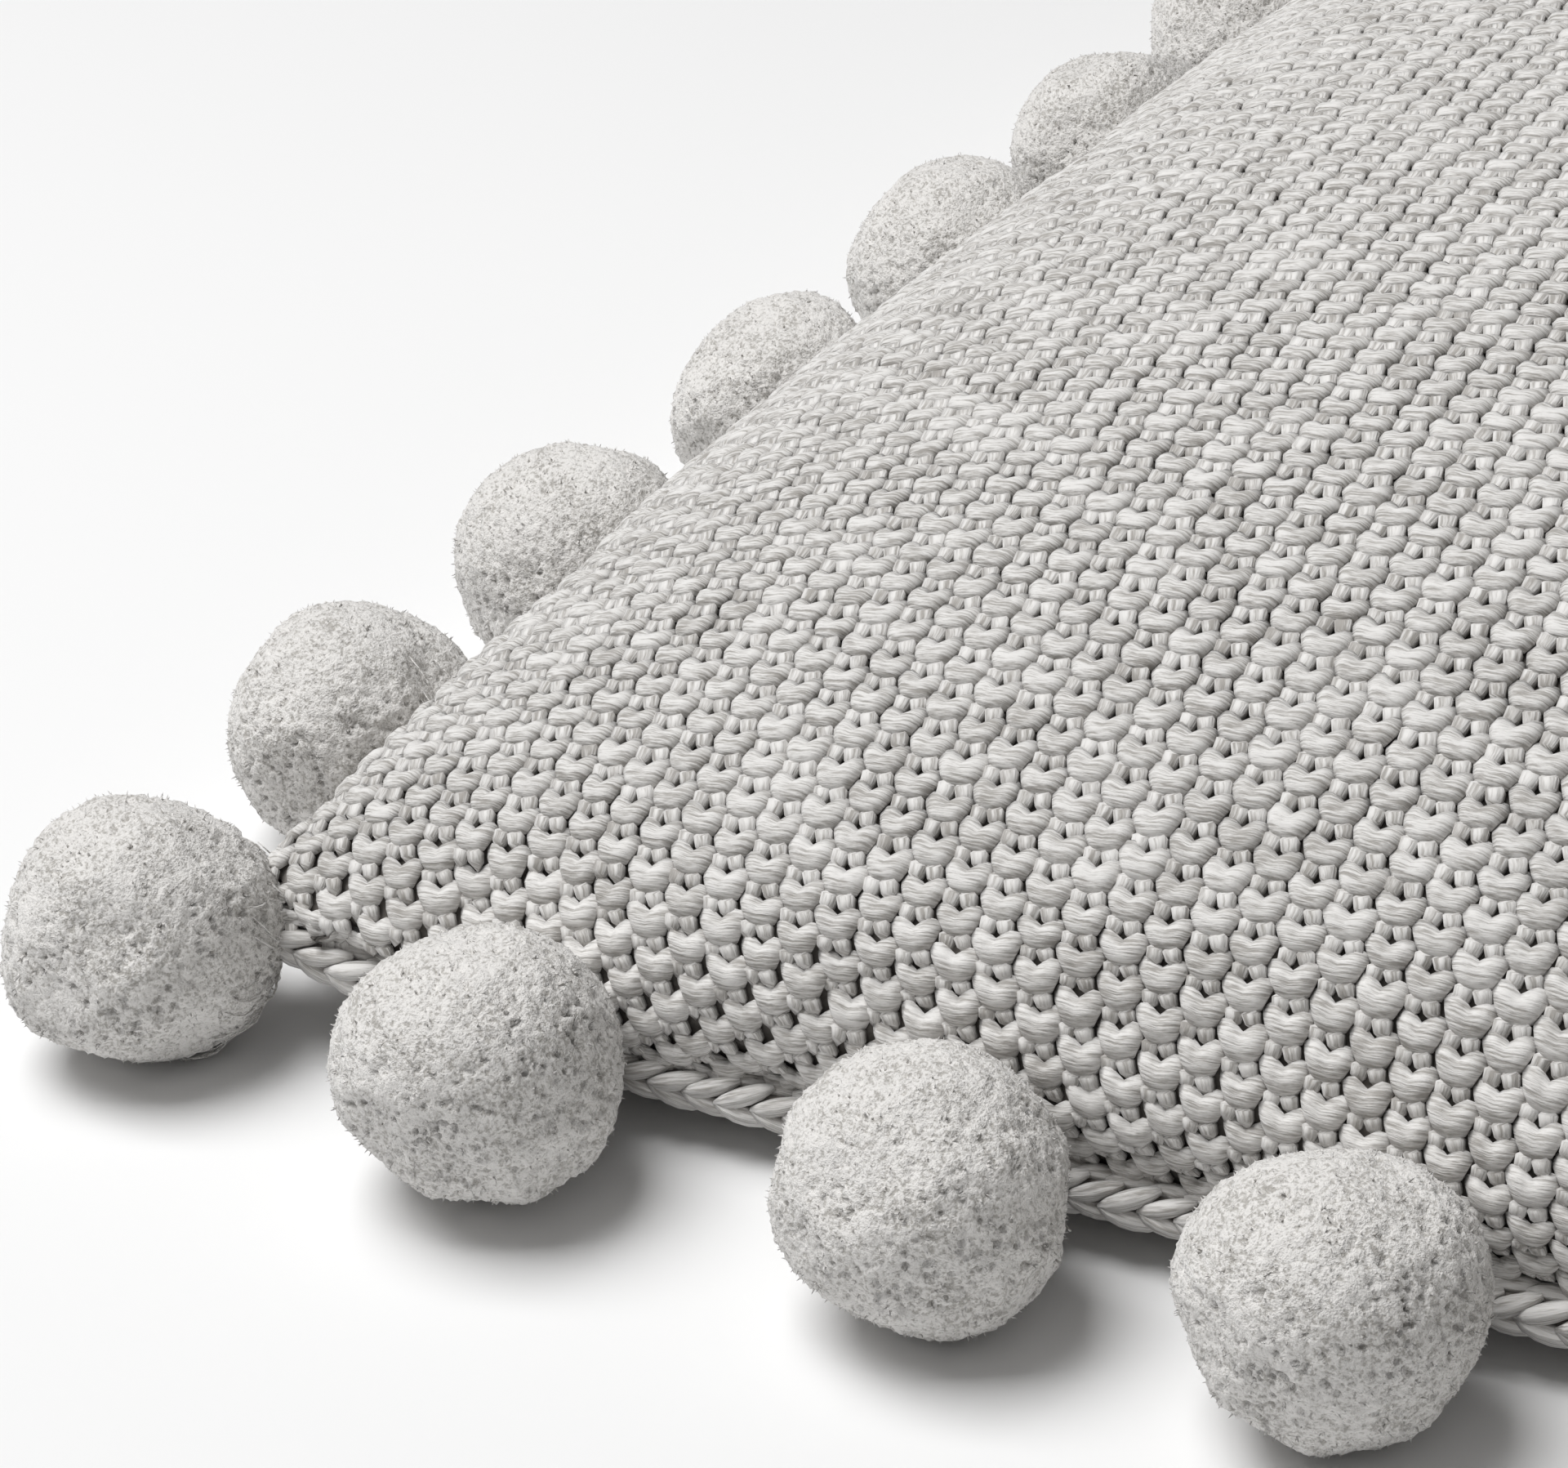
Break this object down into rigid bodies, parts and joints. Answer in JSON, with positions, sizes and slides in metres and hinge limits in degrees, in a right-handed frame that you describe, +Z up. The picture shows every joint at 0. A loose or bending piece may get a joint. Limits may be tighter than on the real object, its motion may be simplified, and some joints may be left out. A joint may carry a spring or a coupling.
{
  "type": "throw pillow",
  "caption": "Square chunky moss-stitch knit throw pillow with a bound edge, yarn pom-poms tied on all round and a zipped cover over a fibre-filled insert.",
  "frame": {"origin": "middle of the pillow's plan on the surface that it lies on", "axes": "+Z up through the thickness of the pillow, +X and +Y along its sides; the zip crosses the underside near the +Y side"},
  "size_m": [0.5698, 0.5697, 0.1103],
  "materials": {
    "knit": "matte",
    "pompom_yarn": "matte",
    "insert_cotton": "matte",
    "fibre_fill": "matte",
    "zip_tape": "matte",
    "zip_coil": "satin",
    "zip_metal": "satin"
  },
  "bodies": {
    "cover_and_insert": {"back_knit_panel": "knit", "bound_edge": "knit", "fibre_filling": "fibre_fill", "front_knit_panel": "knit", "insert_case_back": "insert_cotton", "insert_case_front": "insert_cotton", "zip_coil_far": "zip_coil", "zip_coil_near": "zip_coil", "zip_stop_closed_end": "zip_metal", "zip_stop_open_end": "zip_metal", "zip_tape_far": "zip_tape", "zip_tape_near": "zip_tape"},
    "zip_slider": {"zip_slider": "zip_metal"},
    "zip_pull_tab": {"zip_pull_tab": "zip_metal"},
    "pompom_01": {"pompom_01": "pompom_yarn"},
    "pompom_02": {"pompom_02": "pompom_yarn"},
    "pompom_03": {"pompom_03": "pompom_yarn"},
    "pompom_04": {"pompom_04": "pompom_yarn"},
    "pompom_05": {"pompom_05": "pompom_yarn"},
    "pompom_06": {"pompom_06": "pompom_yarn"},
    "pompom_07": {"pompom_07": "pompom_yarn"},
    "pompom_08": {"pompom_08": "pompom_yarn"},
    "pompom_09": {"pompom_09": "pompom_yarn"},
    "pompom_10": {"pompom_10": "pompom_yarn"},
    "pompom_11": {"pompom_11": "pompom_yarn"},
    "pompom_12": {"pompom_12": "pompom_yarn"},
    "pompom_13": {"pompom_13": "pompom_yarn"},
    "pompom_14": {"pompom_14": "pompom_yarn"},
    "pompom_15": {"pompom_15": "pompom_yarn"},
    "pompom_16": {"pompom_16": "pompom_yarn"},
    "pompom_17": {"pompom_17": "pompom_yarn"},
    "pompom_18": {"pompom_18": "pompom_yarn"},
    "pompom_19": {"pompom_19": "pompom_yarn"},
    "pompom_20": {"pompom_20": "pompom_yarn"},
    "pompom_21": {"pompom_21": "pompom_yarn"},
    "pompom_22": {"pompom_22": "pompom_yarn"},
    "pompom_23": {"pompom_23": "pompom_yarn"},
    "pompom_24": {"pompom_24": "pompom_yarn"},
    "pompom_25": {"pompom_25": "pompom_yarn"},
    "pompom_26": {"pompom_26": "pompom_yarn"},
    "pompom_27": {"pompom_27": "pompom_yarn"},
    "pompom_28": {"pompom_28": "pompom_yarn"}
  },
  "joints": [
    {"name": "zip_slide", "type": "slide", "parent": "cover_and_insert", "child": "zip_slider", "axis": [-1, 0, 0], "range_m": [0, 0.3126]},
    {"name": "zip_tab_swing", "type": "hinge", "parent": "zip_slider", "child": "zip_pull_tab", "pos_m": [0.1616, 0.216, 0.0019], "axis": [0, -1, 0], "range_deg": [0, 135]},
    {"name": "pompom_01_flop", "type": "hinge", "parent": "cover_and_insert", "child": "pompom_01", "pos_m": [-0.2396, -0.2396, 0.01], "axis": [-0.7071, 0.7071, 0], "range_deg": [-60, 0]},
    {"name": "pompom_02_flop", "type": "hinge", "parent": "cover_and_insert", "child": "pompom_02", "pos_m": [-0.17574, -0.24362, 0.01], "axis": [-1, 0, 0], "range_deg": [-60, 0]},
    {"name": "pompom_03_flop", "type": "hinge", "parent": "cover_and_insert", "child": "pompom_03", "pos_m": [-0.10564, -0.24247, 0.01], "axis": [-1, 0, 0], "range_deg": [-60, 0]},
    {"name": "pompom_04_flop", "type": "hinge", "parent": "cover_and_insert", "child": "pompom_04", "pos_m": [-0.03521, -0.24167, 0.01], "axis": [-1, 0, 0], "range_deg": [-60, 0]},
    {"name": "pompom_05_flop", "type": "hinge", "parent": "cover_and_insert", "child": "pompom_05", "pos_m": [0.03521, -0.24167, 0.01], "axis": [-1, 0, 0], "range_deg": [-60, 0]},
    {"name": "pompom_06_flop", "type": "hinge", "parent": "cover_and_insert", "child": "pompom_06", "pos_m": [0.10564, -0.24247, 0.01], "axis": [-1, 0, 0], "range_deg": [-60, 0]},
    {"name": "pompom_07_flop", "type": "hinge", "parent": "cover_and_insert", "child": "pompom_07", "pos_m": [0.17574, -0.24362, 0.01], "axis": [-1, 0, 0], "range_deg": [-60, 0]},
    {"name": "pompom_08_flop", "type": "hinge", "parent": "cover_and_insert", "child": "pompom_08", "pos_m": [0.2396, -0.2396, 0.01], "axis": [-0.7071, -0.7071, 0], "range_deg": [-60, 0]},
    {"name": "pompom_09_flop", "type": "hinge", "parent": "cover_and_insert", "child": "pompom_09", "pos_m": [0.24362, -0.17574, 0.01], "axis": [0, -1, 0], "range_deg": [-60, 0]},
    {"name": "pompom_10_flop", "type": "hinge", "parent": "cover_and_insert", "child": "pompom_10", "pos_m": [0.24247, -0.10564, 0.01], "axis": [0, -1, 0], "range_deg": [-60, 0]},
    {"name": "pompom_11_flop", "type": "hinge", "parent": "cover_and_insert", "child": "pompom_11", "pos_m": [0.24167, -0.03521, 0.01], "axis": [0, -1, 0], "range_deg": [-60, 0]},
    {"name": "pompom_12_flop", "type": "hinge", "parent": "cover_and_insert", "child": "pompom_12", "pos_m": [0.24167, 0.03521, 0.01], "axis": [0, -1, 0], "range_deg": [-60, 0]},
    {"name": "pompom_13_flop", "type": "hinge", "parent": "cover_and_insert", "child": "pompom_13", "pos_m": [0.24247, 0.10564, 0.01], "axis": [0, -1, 0], "range_deg": [-60, 0]},
    {"name": "pompom_14_flop", "type": "hinge", "parent": "cover_and_insert", "child": "pompom_14", "pos_m": [0.24362, 0.17574, 0.01], "axis": [0, -1, 0], "range_deg": [-60, 0]},
    {"name": "pompom_15_flop", "type": "hinge", "parent": "cover_and_insert", "child": "pompom_15", "pos_m": [0.2396, 0.2396, 0.01], "axis": [0.7071, -0.7071, 0], "range_deg": [-60, 0]},
    {"name": "pompom_16_flop", "type": "hinge", "parent": "cover_and_insert", "child": "pompom_16", "pos_m": [0.17574, 0.24362, 0.01], "axis": [1, 0, 0], "range_deg": [-60, 0]},
    {"name": "pompom_17_flop", "type": "hinge", "parent": "cover_and_insert", "child": "pompom_17", "pos_m": [0.10564, 0.24247, 0.01], "axis": [1, 0, 0], "range_deg": [-60, 0]},
    {"name": "pompom_18_flop", "type": "hinge", "parent": "cover_and_insert", "child": "pompom_18", "pos_m": [0.03521, 0.24167, 0.01], "axis": [1, 0, 0], "range_deg": [-60, 0]},
    {"name": "pompom_19_flop", "type": "hinge", "parent": "cover_and_insert", "child": "pompom_19", "pos_m": [-0.03521, 0.24167, 0.01], "axis": [1, 0, 0], "range_deg": [-60, 0]},
    {"name": "pompom_20_flop", "type": "hinge", "parent": "cover_and_insert", "child": "pompom_20", "pos_m": [-0.10564, 0.24247, 0.01], "axis": [1, 0, 0], "range_deg": [-60, 0]},
    {"name": "pompom_21_flop", "type": "hinge", "parent": "cover_and_insert", "child": "pompom_21", "pos_m": [-0.17574, 0.24362, 0.01], "axis": [1, 0, 0], "range_deg": [-60, 0]},
    {"name": "pompom_22_flop", "type": "hinge", "parent": "cover_and_insert", "child": "pompom_22", "pos_m": [-0.2396, 0.2396, 0.01], "axis": [0.7071, 0.7071, 0], "range_deg": [-60, 0]},
    {"name": "pompom_23_flop", "type": "hinge", "parent": "cover_and_insert", "child": "pompom_23", "pos_m": [-0.24362, 0.17574, 0.01], "axis": [0, 1, 0], "range_deg": [-60, 0]},
    {"name": "pompom_24_flop", "type": "hinge", "parent": "cover_and_insert", "child": "pompom_24", "pos_m": [-0.24247, 0.10564, 0.01], "axis": [0, 1, 0], "range_deg": [-60, 0]},
    {"name": "pompom_25_flop", "type": "hinge", "parent": "cover_and_insert", "child": "pompom_25", "pos_m": [-0.24167, 0.03521, 0.01], "axis": [0, 1, 0], "range_deg": [-60, 0]},
    {"name": "pompom_26_flop", "type": "hinge", "parent": "cover_and_insert", "child": "pompom_26", "pos_m": [-0.24167, -0.03521, 0.01], "axis": [0, 1, 0], "range_deg": [-60, 0]},
    {"name": "pompom_27_flop", "type": "hinge", "parent": "cover_and_insert", "child": "pompom_27", "pos_m": [-0.24247, -0.10564, 0.01], "axis": [0, 1, 0], "range_deg": [-60, 0]},
    {"name": "pompom_28_flop", "type": "hinge", "parent": "cover_and_insert", "child": "pompom_28", "pos_m": [-0.24362, -0.17574, 0.01], "axis": [0, 1, 0], "range_deg": [-60, 0]}
  ]
}
